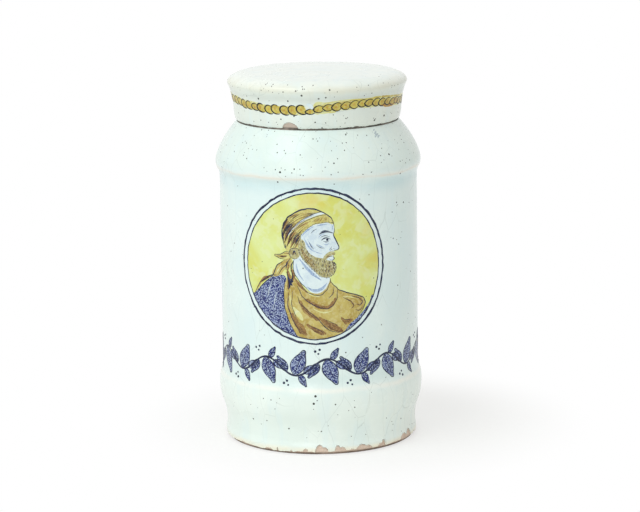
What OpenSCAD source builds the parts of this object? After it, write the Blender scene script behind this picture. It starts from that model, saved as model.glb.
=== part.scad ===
// Covered pharmacy jar: a straight thrown jar with a banded foot and a rounded shoulder,
// and a cap lid that drops over its short neck. Each is a red earthenware body
// under a coat of white tin glaze that leaves the standing edge and the lid's rim bare.
// Millimetres, +Z up. The origin is the middle of the base, and the front of the jar is -Y.

/* [Body] */
// Diameter of the straight wall, over the glaze
body_d = 115.2; // [100:0.2:140]
// Length of the straight wall between the two swellings
body_len = 109.3; // [60:0.1:180]
// Thickness of the wall, glaze included
wall = 6.2; // [4.5:0.1:8]
// Thickness of the floor over the standing ring, glaze included
floor_t = 8; // [6:0.1:12]
// Radius of the inside corner between floor and wall
floor_corner_r = 12; // [6:0.5:20]

/* [Foot] */
// Height of the small lip just above the base edge
foot_lip_z = 3; // [2:0.1:5]
// How far the lip lies inside the straight wall
foot_lip_in = 1.3; // [0.5:0.1:4]
// How far the base edge lies inside the lip
base_edge_in = 0.9; // [0.4:0.1:1.6]
// Rise from the lip to the narrow waist
waist_rise = 5.5; // [4:0.5:10]
// How far the waist lies inside the straight wall
waist_in = 1.9; // [1:0.1:4.5]
// Rise from the waist to the widest ring of the foot band
band_rise = 24.5; // [16:0.5:34]
// How far the foot band stands out from the straight wall
band_out = 2.2; // [0.5:0.1:4]
// Rise from the foot band to the straight wall
band_top_rise = 12.5; // [6:0.5:20]
// Height of the edge that is left without glaze
bare_foot = 0.8; // [0.4:0.1:1.5]
// Width of the ring that the jar stands on
standing_ring_w = 14; // [8:0.5:24]
// Depth of the hollow turned under the base
base_hollow = 1.6; // [0.8:0.1:3]

/* [Shoulder] */
// Rise from the straight wall to the widest ring of the shoulder
ledge_rise = 8.8; // [5:0.1:14]
// How far the shoulder stands out from the straight wall
shoulder_out = 2.2; // [0.5:0.1:4]
// Rise from the widest ring to the seat of the lid
shoulder_rise = 22.9; // [18:0.1:30]
// Rise from the widest ring to where its upright would meet the slope
shoulder_turn_rise = 9; // [5:0.1:14]

/* [Neck] */
// Outside diameter of the neck
neck_d = 84; // [72:0.5:92]
// Height of the neck above the seat of the lid
neck_len = 18.5; // [12:0.5:30]
// Thickness of the neck's wall
neck_wall = 5.5; // [4.5:0.1:8]
// Radius of the fillet at the root of the neck
neck_fillet_r = 0.7; // [0.3:0.1:1.2]
// Width of the ledge that shows outside the lid
seat_margin = 0.1; // [0.1:0.1:2]

/* [Lid] */
// Gap between the neck and the inside of the lid, on the radius
lid_clear = 0.9; // [0.6:0.05:1.6]
// Headroom between the jar's mouth and the lid's ceiling
lid_headroom = 4; // [1:0.1:12]
// Width of the rim that sits on the shoulder
lid_rim_w = 4.2; // [3.6:0.1:7]
// How far the lid's side swells out from its rim
lid_belly_out = 1.7; // [0.5:0.1:3]
// Height over which the side swells out
lid_belly_rise = 8.5; // [5:0.5:11]
// How far the top edge flares out from the side
lid_flare_out = 3.2; // [1:0.1:6]
// Height of the rounded top edge
lid_edge_rise = 5.8; // [4:0.1:9]
// Width of the rounded top edge
lid_edge_w = 7.7; // [4:0.1:12]
// Rise of the shallow dome on top
lid_dome = 1.8; // [0.5:0.1:6]
// Thickness of the lid's top at its middle
lid_top_t = 7; // [5:0.1:10]
// Radius of the corner inside the lid
lid_corner_r = 6; // [3:0.5:10]
// Height of the rim that is left without glaze
bare_rim = 0.9; // [0.4:0.1:1.5]

/* [Glaze] */
// Thickness of the tin glaze
glaze_t = 0.6; // [0.3:0.05:0.8]

/* [Hidden] */

clay_colour = [0.72, 0.53, 0.42];
glaze_colour = [0.88, 0.93, 0.92];

// Smoothness of the turned surfaces and of the curves in their outlines
$fn = 120;
curve_steps = 12;

// How far a rounded corner's handles reach towards the point where it turns
corner_pull = 0.55;

// How far past the flare's end the lid's top edge turns over, as a share of the flare's last stretch
lid_edge_lean = 0.6;

// Radii and heights of the jar, from the table up
body_r = body_d / 2;
foot_lip_r = body_r - foot_lip_in;
base_edge_r = foot_lip_r - base_edge_in;
waist_r = body_r - waist_in;
band_r = body_r + band_out;
shoulder_r = body_r + shoulder_out;
neck_r = neck_d / 2;
waist_z = foot_lip_z + waist_rise;
band_z = waist_z + band_rise;
body_z = band_z + band_top_rise;
ledge_z = body_z + body_len;
shoulder_z = ledge_z + ledge_rise;
seat_z = shoulder_z + shoulder_rise;
mouth_z = seat_z + neck_len;
lip_r = neck_wall / 2;
bore_r = neck_r - neck_wall;
inside_r = body_r - wall;
standing_r = base_edge_r - glaze_t - base_edge_in / 2;
hollow_r = standing_r - standing_ring_w;

// Radii and heights of the lid, from its rim up
lid_bore_r = neck_r + lid_clear;
lid_rim_r = lid_bore_r + lid_rim_w;
seat_r = lid_rim_r + seat_margin;
lid_side_r = lid_rim_r + lid_belly_out;
lid_edge_r = lid_side_r + lid_flare_out;
lid_top_r = lid_edge_r - lid_edge_w;
lid_side_z = seat_z + lid_belly_rise;
lid_ceiling_z = mouth_z + lid_headroom;
lid_peak_z = lid_ceiling_z + lid_top_t;
lid_top_z = lid_peak_z - lid_dome;
lid_edge_z = lid_top_z - lid_edge_rise;
lid_bend_z = (lid_side_z + lid_edge_z) / 2;

// One point of a cubic curve with the four control points p
function cubic(p, t) = let (u = 1 - t)
    u * u * u * p[0] + 3 * u * u * t * p[1] + 3 * u * t * t * p[2] + t * t * t * p[3];

// A cubic curve as points, without its first one, so that curves join end to end
function curve(p) = [for (i = [1 : curve_steps]) cubic(p, i / curve_steps)];

// A curve that leaves a and reaches b upright, as a thrower's rib leaves it
function sweep(a, b) = let (half = (b[1] - a[1]) / 2)
    curve([a, a + [0, half], b - [0, half], b]);

// A rounded corner from a to b that turns at the point c
function corner(a, c, b) = curve([a, a + (c - a) * corner_pull, b + (c - b) * corner_pull, b]);

function unit(v) = v / norm(v);
function left_of(v) = [-v[1], v[0]];

// The directions of a line's stretches
function headings(line) = [for (i = [1 : len(line) - 1]) unit(line[i] - line[i - 1])];

// A line that runs beside another, to its left, at a steady distance, and stops at the axis
function beside(line, distance) = let (ways = headings(line), last = len(ways) - 1) [
    for (i = [0 : len(line) - 1])
        let (
            before = ways[max(i - 1, 0)],
            after = ways[min(i, last)],
            along = unit(before + after),
            point = line[i] + left_of(along) * distance / (along * after))
        [max(point[0], 0), point[1]]
];

function reversed(line) = [for (i = [len(line) - 1 : -1 : 0]) line[i]];

// Outside of the jar, from the lower edge of its glaze up to the neck's fillet
jar_outside = concat(
    [[base_edge_r, bare_foot]],
    corner([base_edge_r, bare_foot], [foot_lip_r, bare_foot], [foot_lip_r, foot_lip_z]),
    sweep([foot_lip_r, foot_lip_z], [waist_r, waist_z]),
    sweep([waist_r, waist_z], [band_r, band_z]),
    sweep([band_r, band_z], [body_r, body_z]),
    [[body_r, ledge_z]],
    sweep([body_r, ledge_z], [shoulder_r, shoulder_z]),
    corner([shoulder_r, shoulder_z], [shoulder_r, shoulder_z + shoulder_turn_rise], [seat_r, seat_z]));

// Neck and mouth, from the seat of the lid over the rounded lip into the bore
jar_neck = concat(
    [[neck_r + neck_fillet_r, seat_z]],
    corner([neck_r + neck_fillet_r, seat_z], [neck_r, seat_z], [neck_r, seat_z + neck_fillet_r]),
    [[neck_r, mouth_z - lip_r]],
    corner([neck_r, mouth_z - lip_r], [neck_r, mouth_z], [neck_r - lip_r, mouth_z]),
    corner([neck_r - lip_r, mouth_z], [bore_r, mouth_z], [bore_r, mouth_z - lip_r]));

// Inside of the jar, from the root of the bore down to the middle of the floor
jar_inside = concat(
    [[bore_r, seat_z - neck_wall / 2]],
    curve([
        [bore_r, seat_z - neck_wall / 2],
        [bore_r, seat_z - neck_wall],
        [inside_r, shoulder_z + shoulder_rise / 2],
        [inside_r, shoulder_z]]),
    [[inside_r, floor_t + floor_corner_r]],
    corner([inside_r, floor_t + floor_corner_r], [inside_r, floor_t], [inside_r - floor_corner_r, floor_t]),
    [[0, floor_t]]);

jar_skin = concat(jar_outside, jar_neck, jar_inside);
jar_clay_skin = beside(jar_skin, glaze_t);

// Outside of the lid, from the lower edge of its glaze up to the middle of its top
lid_bend = [lid_side_r, lid_bend_z];
lid_edge = [lid_edge_r, lid_edge_z];
lid_outside = concat(
    [[lid_rim_r, seat_z + bare_rim]],
    corner([lid_rim_r, seat_z + bare_rim], [lid_side_r, seat_z + bare_rim], [lid_side_r, lid_side_z]),
    corner([lid_side_r, lid_side_z], lid_bend, lid_edge),
    corner(lid_edge, lid_edge + (lid_edge - lid_bend) * lid_edge_lean, [lid_top_r, lid_top_z]),
    corner([lid_top_r, lid_top_z], [lid_top_r / 2, lid_peak_z], [0, lid_peak_z]));

// Inside of the lid, from the lower edge of its glaze up to the middle of its ceiling
lid_inside = concat(
    [[lid_bore_r, seat_z + bare_rim]],
    [[lid_bore_r, lid_ceiling_z - lid_corner_r]],
    corner(
        [lid_bore_r, lid_ceiling_z - lid_corner_r],
        [lid_bore_r, lid_ceiling_z],
        [lid_bore_r - lid_corner_r, lid_ceiling_z]),
    [[0, lid_ceiling_z]]);

lid_clay_outside = beside(lid_outside, glaze_t);
lid_clay_inside = beside(lid_inside, -glaze_t);

// The thrown body of the jar, with its bare base
module jar_clay() {
    color(clay_colour)
        rotate_extrude()
            polygon(concat(
                [
                    [0, base_hollow],
                    [hollow_r - base_hollow, base_hollow],
                    [hollow_r, 0],
                    [standing_r, 0]],
                jar_clay_skin));
}

// The coat of glaze over the jar, outside, over the lip and inside
module jar_glaze() {
    color(glaze_colour)
        rotate_extrude()
            polygon(concat(jar_skin, reversed(jar_clay_skin)));
}

// The thrown body of the lid, with its bare rim
module lid_clay() {
    color(clay_colour)
        rotate_extrude()
            polygon(concat(
                [
                    [lid_clay_inside[0][0], seat_z],
                    [lid_clay_outside[0][0], seat_z]],
                lid_clay_outside,
                reversed(lid_clay_inside)));
}

// The two coats of glaze on the lid: one outside, and one inside the cap
module lid_glaze() {
    color(glaze_colour) {
        rotate_extrude()
            polygon(concat(lid_outside, reversed(lid_clay_outside)));
        rotate_extrude()
            polygon(concat(lid_inside, reversed(lid_clay_inside)));
    }
}

jar_clay();
jar_glaze();
lid_clay();
lid_glaze();
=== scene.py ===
# Looks of a covered pharmacy jar: a hand-thrown earthenware jar and its cap lid under white tin glaze,
# painted in cobalt blue, lemon yellow, ochre and brown. Turned pieces take their outlines from the CAD parts
# in model.glb.
import math
import random

import bmesh
import bpy
from mathutils import Matrix, Vector
from mathutils.geometry import intersect_point_line


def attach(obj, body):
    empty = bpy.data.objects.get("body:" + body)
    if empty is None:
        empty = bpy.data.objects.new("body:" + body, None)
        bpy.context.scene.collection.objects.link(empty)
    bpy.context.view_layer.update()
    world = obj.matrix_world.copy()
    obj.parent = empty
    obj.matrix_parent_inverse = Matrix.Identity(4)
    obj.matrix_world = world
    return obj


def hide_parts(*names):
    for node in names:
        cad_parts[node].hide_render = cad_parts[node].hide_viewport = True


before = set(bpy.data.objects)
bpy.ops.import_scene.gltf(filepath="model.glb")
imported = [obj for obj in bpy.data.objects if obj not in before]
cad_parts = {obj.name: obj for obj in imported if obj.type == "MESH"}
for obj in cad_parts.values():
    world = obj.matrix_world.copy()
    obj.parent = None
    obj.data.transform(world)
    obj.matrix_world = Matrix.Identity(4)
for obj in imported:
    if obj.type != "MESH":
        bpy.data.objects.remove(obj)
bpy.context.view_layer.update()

# Drawings are made flat in millimetres and bent round the jar afterwards
MM = 0.001
WELD = 1e-6

# The straight wall that the front is painted on, and the lid's side, as radii in millimetres
WALL_R = 57.6
LID_SIDE_R = 48.8

# How deep paint lies in the glaze, in millimetres; each coat also stands a little proud of it
PAINT_DEPTH = 0.1

# Widest strip of a flat drawing that is bent as one straight piece
STRIP = 2.0

scatter = random.Random(7)

# Turned pieces

# How much of the round is turned in fine steps, and in how many wedges the front and the back are turned
FRONT_ARC = math.radians(160)
FRONT_WEDGES = 16
BACK_WEDGES = 10


def half_section(node):
    """The outline of a turned CAD node: its cut edges in the plane y = 0, on the side of +X."""
    bm = bmesh.new()
    bm.from_mesh(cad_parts[node].data)
    bmesh.ops.remove_doubles(bm, verts=bm.verts, dist=WELD)
    bmesh.ops.bisect_plane(bm, geom=bm.verts[:] + bm.edges[:] + bm.faces[:], dist=WELD, plane_co=(0, 0, 0),
                           plane_no=(0, 1, 0), clear_inner=True, clear_outer=True)
    bmesh.ops.bisect_plane(bm, geom=bm.verts[:] + bm.edges[:], dist=WELD, plane_co=(0, 0, 0),
                           plane_no=(1, 0, 0), clear_inner=True)
    return bm


def outer_radius_table(node, step=0.25):
    """The largest radius of a turned node at steps of its height: lowest height, step and radii, in mm."""
    bm = half_section(node)
    edges = [[(v.co.z / MM, v.co.x / MM) for v in e.verts] for e in bm.edges]
    bm.free()
    low = min(p[0] for e in edges for p in e)
    high = max(p[0] for e in edges for p in e)
    radii = []
    for i in range(int((high - low) / step) + 2):
        z = min(low + i * step, high)
        radius = 0
        for (za, ra), (zb, rb) in edges:
            if min(za, zb) <= z <= max(za, zb):
                share = (z - za) / (zb - za) if zb != za else 0
                radius = max(radius, ra + (rb - ra) * share)
        radii.append(radius)
    return low, step, radii


def look_up(table, z):
    """The outer radius at a height, between the steps of such a table."""
    low, step, radii = table
    place = min(max((z - low) / step, 0), len(radii) - 1.001)
    i = int(place)
    return radii[i] + (radii[i + 1] - radii[i]) * (place - i)


jar_radii = outer_radius_table("jar_glaze")
lid_radii = outer_radius_table("lid_glaze")


# How uneven the thrower left the wall, in millimetres: out of round, three-sided and ringed
OUT_OF_ROUND = 0.05
THREE_SIDED = 0.03
THROWING_RINGS = 0.04
RING_RISE = 3.1


def thrown(angle, z):
    """How far the hand-thrown wall stands off the true circle, in millimetres, and always inside it."""
    uneven = OUT_OF_ROUND * math.sin(2 * angle + 0.6) + THREE_SIDED * math.sin(3 * angle - 1.1 + z / 50)
    rings = THROWING_RINGS * math.sin(z / RING_RISE + 0.9 * math.sin(angle + 1))
    return uneven + rings - (OUT_OF_ROUND + THREE_SIDED + THROWING_RINGS)


def on_wall(radius, angle, z):
    """A place on the thrown wall; the front is -Y, where the angle is 0, and it grows towards +X."""
    r = radius + thrown(angle, z)
    return Vector((r * math.sin(angle), -r * math.cos(angle), z)) * MM


def on_jar(arc, z, level):
    return on_wall(look_up(jar_radii, z) + level, arc / WALL_R, z)


def on_lid(arc, z, level):
    return on_wall(look_up(lid_radii, z) + level, arc / LID_SIDE_R, z)


# Chips along the foot's glaze edge: where each starts and ends along the front, and how high it reaches
FOOT_CHIPS = [
    (-31.0, -25.5, 2.4), (-22.6, -21.6, 2.9), (-14.0, -12.4, 2.4), (-10.5, -6.5, 2.1), (-6.0, -2.9, 3.5),
    (1.2, 6.6, 5.8), (4.6, 9.0, 4.5), (12.8, 16.4, 5.3), (14.2, 20.0, 4.2), (21.0, 25.6, 2.5),
    (25.8, 33.4, 4.7), (30.6, 36.6, 3.7), (-12.0, 2.0, 2.0), (3.0, 48.0, 2.1), (-66.0, -34.0, 2.0),
    (46.0, 80.0, 2.3), (40.2, 46.4, 3.6), (43.2, 46.2, 5.2), (52.0, 56.0, 2.3), (60.0, 67.6, 5.2),
    (66.6, 73.6, 6.4), (78.0, 81.0, 3.0), (-52.0, -47.0, 2.4), (-71.0, -66.0, 2.2), (104.0, 109.0, 3.2),
    (131.0, 135.5, 3.9), (-120.0, -114.0, 3.0), (-150.0, -147.0, 2.6)]
LID_CHIPS = [(-16.6, -7.0, 190.9), (26.0, 29.5, 188.1), (-44.0, -40.0, 187.9), (92.0, 97.0, 189.2),
             (-110.0, -106.0, 188.7)]

# The height of each glaze edge between its chips, how far it ripples, and how high the breaking reaches
FOOT_HEM = 1.25
FOOT_RIPPLE = 0.16
FOOT_ZONE_TOP = 9.5
LID_HEM = 187.55
LID_RIPPLE = 0.13
LID_ZONE_TOP = 194.0


def broken_edge(arc, chips, edge, ripple):
    """Height of the broken glaze edge at a place along the front."""
    height = edge + ripple * (math.sin(arc * 0.31) + math.sin(arc * 0.83 + 1.7) + 0.6 * math.sin(arc * 2.9))
    for start, end, top in chips:
        across = (2 * arc - start - end) / (end - start)
        if abs(across) < 1:
            ragged = 0.12 * math.sin(arc * 5.3) + 0.08 * math.sin(arc * 11.1)
            height = max(height, edge + (top - edge) * (1 - across * across) ** 0.55 + ragged)
    return height


# How far an outline may stray where it shows and where it doesn't
SHOWN_SLACK = 0.008 * MM
HIDDEN_SLACK = 0.06 * MM


def thin_out(bm, is_hidden):
    """Drops the points of an outline without which it hardly strays."""
    strayed = {}
    for v in sorted(bm.verts, key=lambda v: (round(v.co.z, 7), round(v.co.x, 7))):
        ends = [e.other_vert(v) for e in v.link_edges]
        if len(ends) == 2:
            nearest, _ = intersect_point_line(v.co, ends[0].co, ends[1].co)
            stray = (v.co - nearest).length + sum(strayed.get(frozenset((v, end)), 0) for end in ends)
            if stray < (HIDDEN_SLACK if is_hidden(v.co) else SHOWN_SLACK):
                strayed[frozenset(ends)] = stray
                bmesh.ops.dissolve_verts(bm, verts=[v])


def even_out(bm, longest, is_hidden):
    """Cuts the long straight stretches of an outline, so that they can take the thrower's unevenness."""
    for e in bm.edges[:]:
        if not any(is_hidden(v.co) for v in e.verts):
            cuts = int(e.calc_length() / longest)
            if cuts:
                bmesh.ops.subdivide_edges(bm, edges=[e], cuts=cuts)


def spin_round(bm, front_steps, back_steps):
    """Turns an outline once round +Z, in wedges that are welded, with finer steps across the front."""
    outline = bpy.data.meshes.new("outline")
    bm.to_mesh(outline)
    bm.clear()
    turned = bpy.data.meshes.new("turned")
    heading = -math.pi / 2 - FRONT_ARC / 2
    back_arc = 2 * math.pi - FRONT_ARC
    for arc, steps, count in ((FRONT_ARC, front_steps, FRONT_WEDGES), (back_arc, back_steps, BACK_WEDGES)):
        for _ in range(count):
            wedge = bmesh.new()
            wedge.from_mesh(outline)
            start = Matrix.Rotation(heading, 3, "Z")
            bmesh.ops.rotate(wedge, verts=wedge.verts, cent=(0, 0, 0), matrix=start)
            bmesh.ops.spin(wedge, geom=wedge.verts[:] + wedge.edges[:], cent=(0, 0, 0), axis=(0, 0, 1),
                           angle=arc / count, steps=steps // count)
            wedge.to_mesh(turned)
            wedge.free()
            bm.from_mesh(turned)
            heading += arc / count
    bpy.data.meshes.remove(turned)
    bpy.data.meshes.remove(outline)
    bmesh.ops.remove_doubles(bm, verts=bm.verts, dist=WELD)
    bmesh.ops.recalc_face_normals(bm, faces=bm.faces)


# A coat breaks within this depth of its outer face, and a point nearer the axis than this stays there
BREAK_DEPTH = 1.5
ON_AXIS = 1e-4


def hand_shape(bm, radii=None, arc_r=WALL_R, chips=(), edge=0.0, ripple=0.0, zone_top=0.0):
    """Gives a true turning the thrower's unevenness, and breaks its lower glaze edge into chips."""
    for v in bm.verts:
        x, y, z = v.co / MM
        r = math.hypot(x, y)
        if r < ON_AXIS:
            continue
        angle = math.atan2(x, -y)
        if radii and z < zone_top and r > look_up(radii, z) - BREAK_DEPTH:
            depth = look_up(radii, z) - r
            low = radii[0]
            new_edge = broken_edge(angle * arc_r, chips, edge, ripple)
            z = new_edge + (z - low) / (zone_top - low) * (zone_top - new_edge)
            r = look_up(radii, z) - depth
        v.co = on_wall(r, angle, z)


def put_in_scene(name, data):
    """A new object in the scene for a mesh, curve, camera or lamp."""
    thing = bpy.data.objects.new(name, data)
    bpy.context.scene.collection.objects.link(thing)
    return thing


# Faces that meet at a wider angle show an edge
CREASE = math.radians(38)


def make_piece(name, bm, material, body):
    """Turns a bmesh into a piece that rides on a body, in the material it is given."""
    mesh = bpy.data.meshes.new(name)
    for face in bm.faces:
        face.smooth = True
    for e in bm.edges:
        e.smooth = len(e.link_faces) == 2 and e.calc_face_angle(0) < CREASE
    bm.to_mesh(mesh)
    bm.free()
    mesh.materials.append(material)
    piece = put_in_scene(name, mesh)
    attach(piece, body)
    return piece


# Shader building

def add(tree, kind, inputs=None, **settings):
    """A shader node with its settings; an input given as a socket is linked, any other is a plain value."""
    made = tree.nodes.new("ShaderNode" + kind)
    for key, value in settings.items():
        setattr(made, key, value)
    for socket, value in (inputs or {}).items():
        if isinstance(value, bpy.types.NodeSocket):
            tree.links.new(value, made.inputs[socket])
        else:
            made.inputs[socket].default_value = value
    return made


def math_node(tree, operation, a, b=None):
    inputs = {0: a} if b is None else {0: a, 1: b}
    return add(tree, "Math", inputs, operation=operation).outputs[0]


def smooth_step(tree, value, low, high, out_low=0.0, out_high=1.0):
    return add(tree, "MapRange", {"Value": value, "From Min": low, "From Max": high, "To Min": out_low,
                                  "To Max": out_high}, interpolation_type="SMOOTHSTEP").outputs["Result"]


def blend_colours(tree, share, a, b):
    return add(tree, "Mix", {0: share, 6: a, 7: b}, data_type="RGBA").outputs[2]


def noise(tree, place, scale, detail=3.0, roughness=0.55, distortion=0.0):
    return add(tree, "TexNoise", {"Vector": place, "Scale": scale, "Detail": detail, "Roughness": roughness,
                                  "Distortion": distortion}).outputs["Fac"]


def rgb(red, green, blue):
    """A colour written as it shows on screen, 0 to 255, in linear light."""
    def linear(c):
        c /= 255
        return c / 12.92 if c <= 0.04045 else ((c + 0.055) / 1.055) ** 2.4
    return (linear(red), linear(green), linear(blue), 1.0)


def new_group(name, inputs, outputs):
    tree = bpy.data.node_groups.new(name, "ShaderNodeTree")
    for socket, default in inputs.items():
        made = tree.interface.new_socket(socket, in_out="INPUT", socket_type="NodeSocketFloat")
        made.default_value = default
    for socket in outputs:
        tree.interface.new_socket(socket, in_out="OUTPUT", socket_type="NodeSocketFloat")
    return tree, tree.nodes.new("NodeGroupInput"), tree.nodes.new("NodeGroupOutput")


# Two sizes of pinholes: how far they lie apart, and their radius, in metres
PINHOLES = [(0.0062, 0.00026), (0.011, 0.00042)]


def glaze_life_group():
    """What a fired tin glaze shows up close: clouds in its tone, pinholes, crazing and a faint swell."""
    tree, _, out = new_group("glaze_life", {}, ("Cloud", "Pinhole", "Craze", "Height"))
    place = add(tree, "TexCoord").outputs["Object"]
    cloud = noise(tree, place, 30.0, 4.0)
    pinholes = None
    for cell, radius in PINHOLES:
        dots = add(tree, "TexVoronoi", {"Vector": place, "Scale": 1 / cell, "Randomness": 1.0})
        near = smooth_step(tree, dots.outputs["Distance"], radius / cell * 1.25, radius / cell * 0.7)
        pinholes = near if pinholes is None else math_node(tree, "MAXIMUM", pinholes, near)
    bends = add(tree, "TexNoise", {"Vector": place, "Scale": 45.0, "Detail": 2.0})
    bent = add(tree, "MixRGB", {"Fac": 0.006, "Color1": place, "Color2": bends.outputs["Color"]}).outputs[0]
    upright = add(tree, "Mapping", {"Vector": bent, "Scale": (1.0, 1.0, 0.3)}).outputs[0]
    cracks = add(tree, "TexVoronoi", {"Vector": upright, "Scale": 84.0}, feature="DISTANCE_TO_EDGE")
    line = smooth_step(tree, cracks.outputs["Distance"], 0.012, 0.003)
    patchy = smooth_step(tree, noise(tree, place, 24.0), 0.36, 0.58)
    craze = math_node(tree, "MULTIPLY", line, patchy)
    peel = noise(tree, place, 420.0, 2.0)
    swell = noise(tree, place, 70.0, 2.0)
    height = math_node(tree, "ADD", math_node(tree, "MULTIPLY", peel, 0.05), swell)
    height = math_node(tree, "SUBTRACT", height, math_node(tree, "MULTIPLY", pinholes, 0.8))
    for socket, value in (("Cloud", cloud), ("Pinhole", pinholes), ("Craze", craze), ("Height", height)):
        tree.links.new(value, out.inputs[socket])
    return tree


def ring_of_wear_and_light_group():
    """A ring round the jar, for glaze that ran thin or pooled and for painted light and shade: 1 at its
    height, fading over its width.
    """
    tree, given, out = new_group("ring_of_wear_and_light", {"Height": 0.0, "Width": 0.001, "Waver": 0.0005}, ("Ring",))
    place = add(tree, "TexCoord").outputs["Object"]
    z = add(tree, "SeparateXYZ", {"Vector": place}).outputs["Z"]
    sway = math_node(tree, "SUBTRACT", noise(tree, place, 38.0), 0.5)
    sway = math_node(tree, "MULTIPLY", math_node(tree, "MULTIPLY", sway, 4.0), given.outputs["Waver"])
    off = math_node(tree, "ABSOLUTE", math_node(tree, "SUBTRACT", math_node(tree, "ADD", z, sway),
                                                given.outputs["Height"]))
    ring = smooth_step(tree, math_node(tree, "DIVIDE", off, given.outputs["Width"]), 1.0, 0.0)
    broken = smooth_step(tree, noise(tree, place, 55.0, 3.0), 0.30, 0.60, 0.35, 1.0)
    tree.links.new(math_node(tree, "MULTIPLY", ring, broken), out.inputs["Ring"])
    return tree


def brush_mottle_group():
    """Pigment brushed on raw glaze: soft patches, and flecks or dots where the glaze shows through."""
    tree, given, out = new_group("brush_mottle", {"Patch": 90.0, "Grain": 900.0},
                                 ("Patches", "Flecks", "Dots"))
    place = add(tree, "TexCoord").outputs["Object"]
    patches = noise(tree, place, given.outputs["Patch"], 3.0, 0.6, 0.6)
    grain = noise(tree, place, given.outputs["Grain"], 2.0, 0.65, 0.4)
    tree.links.new(smooth_step(tree, patches, 0.32, 0.68), out.inputs["Patches"])
    tree.links.new(smooth_step(tree, grain, 0.47, 0.62), out.inputs["Flecks"])
    cells = add(tree, "TexVoronoi", {"Vector": place, "Scale": given.outputs["Grain"], "Randomness": 1.0})
    tree.links.new(smooth_step(tree, cells.outputs["Distance"], 0.52, 0.36), out.inputs["Dots"])
    return tree


GLAZE_LIFE = glaze_life_group()
RING_OF_WEAR_AND_LIGHT = ring_of_wear_and_light_group()
BRUSH_MOTTLE = brush_mottle_group()


def use_group(tree, group, **values):
    made = tree.nodes.new("ShaderNodeGroup")
    made.node_tree = group
    for socket, value in values.items():
        made.inputs[socket].default_value = value
    return made.outputs


def empty_tree(owner):
    """The cleared node tree of a material or a world."""
    owner.use_nodes = True
    owner.node_tree.nodes.clear()
    return owner.node_tree


def new_material(name):
    material = bpy.data.materials.new(name)
    tree = empty_tree(material)
    shader = add(tree, "BsdfPrincipled")
    add(tree, "OutputMaterial", {"Surface": shader.outputs[0]})
    return material, tree, shader


# How a fired glaze cracks, pits and shines
CRAZE_TONE = rgb(160, 172, 168)
PINHOLE_TONE = rgb(62, 60, 54)
GLAZE_ROUGHNESS = (0.2, 0.3)
GLAZE_SWELL = 0.045
GLAZE_SHINE = {"Specular IOR Level": 0.36, "Coat Weight": 0.08, "Coat Roughness": 0.1}


def fired(tree, shader, colour, craze_share=0.05):
    """Finishes a glazed surface: its colour with pinholes and crazing, and the gloss of the glaze."""
    life = use_group(tree, GLAZE_LIFE)
    craze = math_node(tree, "MULTIPLY", life["Craze"], craze_share)
    cracked = blend_colours(tree, craze, colour, CRAZE_TONE)
    pitted = blend_colours(tree, life["Pinhole"], cracked, PINHOLE_TONE)
    tree.links.new(pitted, shader.inputs["Base Color"])
    tree.links.new(smooth_step(tree, life["Cloud"], 0.3, 0.7, *GLAZE_ROUGHNESS), shader.inputs["Roughness"])
    bump = add(tree, "Bump", {"Height": life["Height"], "Strength": GLAZE_SWELL, "Distance": 0.001})
    tree.links.new(bump.outputs[0], shader.inputs["Normal"])
    for socket, value in GLAZE_SHINE.items():
        shader.inputs[socket].default_value = value


def tin_glaze():
    """White tin glaze: its tone by height, runs down the wall, and rings where it pooled or ran thin, with
    painted light and shade among its zones and rings.
    """
    material, tree, shader = new_material("white_tin_glaze")
    life = use_group(tree, GLAZE_LIFE)
    place = add(tree, "TexCoord").outputs["Object"]
    z = add(tree, "SeparateXYZ", {"Vector": place}).outputs["Z"]
    cloud = smooth_step(tree, life["Cloud"], 0.35, 0.65)
    white = blend_colours(tree, cloud, rgb(222, 238, 237), rgb(229, 242, 239))
    # plainer over the foot, greyer with painted shade on the shoulder and the lid's side, and lightest with
    # painted light on its top:
    # the heights where each zone starts and is full, and its two tones
    zones = [
        (0.046, 0.030, rgb(230, 241, 235), rgb(237, 246, 240)),
        (0.1615, 0.1660, rgb(220, 235, 230), rgb(227, 239, 233)),
        (0.1864, 0.1874, rgb(220, 228, 221), rgb(227, 234, 225)),
        (0.2085, 0.2125, rgb(236, 244, 238), rgb(243, 248, 241))]
    for start, full, deep, light in zones:
        zone = blend_colours(tree, cloud, deep, light)
        white = blend_colours(tree, smooth_step(tree, z, start, full), white, zone)
    # it ran a little while it was molten, and is bluer in the runs
    down = add(tree, "Mapping", {"Vector": place, "Scale": (1.0, 1.0, 0.12)}).outputs[0]
    runs = noise(tree, down, 130.0, 3.0)
    white = blend_colours(tree, smooth_step(tree, runs, 0.46, 0.68, 0.0, 0.28), white, rgb(218, 237, 241))
    # each ring's height, half width and waver, its tone and its share
    rings = [
        # pooled and bluish under the shoulder, darkened there also with painted shade under the ridge, and
        # over the foot band
        (0.1555, 0.0075, 0.0004, rgb(205, 228, 231), 0.75),
        (0.0445, 0.0050, 0.0004, rgb(214, 232, 230), 0.5),
        # thin and creamy along the ridges, over the foot's edge and along the lid's; whitened as a painted
        # highlight on the foot band's ridge, and a grey painted shade under the lid's rim
        (0.1610, 0.0026, 0.0008, rgb(238, 237, 228), 0.6),
        (0.1608, 0.0011, 0.0011, rgb(232, 225, 213), 0.65),
        (0.0385, 0.0024, 0.0006, rgb(247, 247, 238), 0.8),
        (0.0022, 0.0030, 0.0006, rgb(247, 238, 214), 0.8),
        (0.2100, 0.0040, 0.0010, rgb(228, 225, 205), 0.6),
        (0.2046, 0.0036, 0.0008, rgb(205, 212, 205), 0.65)]
    for height, width, waver, tone, share in rings:
        ring = use_group(tree, RING_OF_WEAR_AND_LIGHT, Height=height, Width=width, Waver=waver)["Ring"]
        white = blend_colours(tree, math_node(tree, "MULTIPLY", ring, share), white, tone)
    fired(tree, shader, white, craze_share=0.24)
    return material


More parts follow.
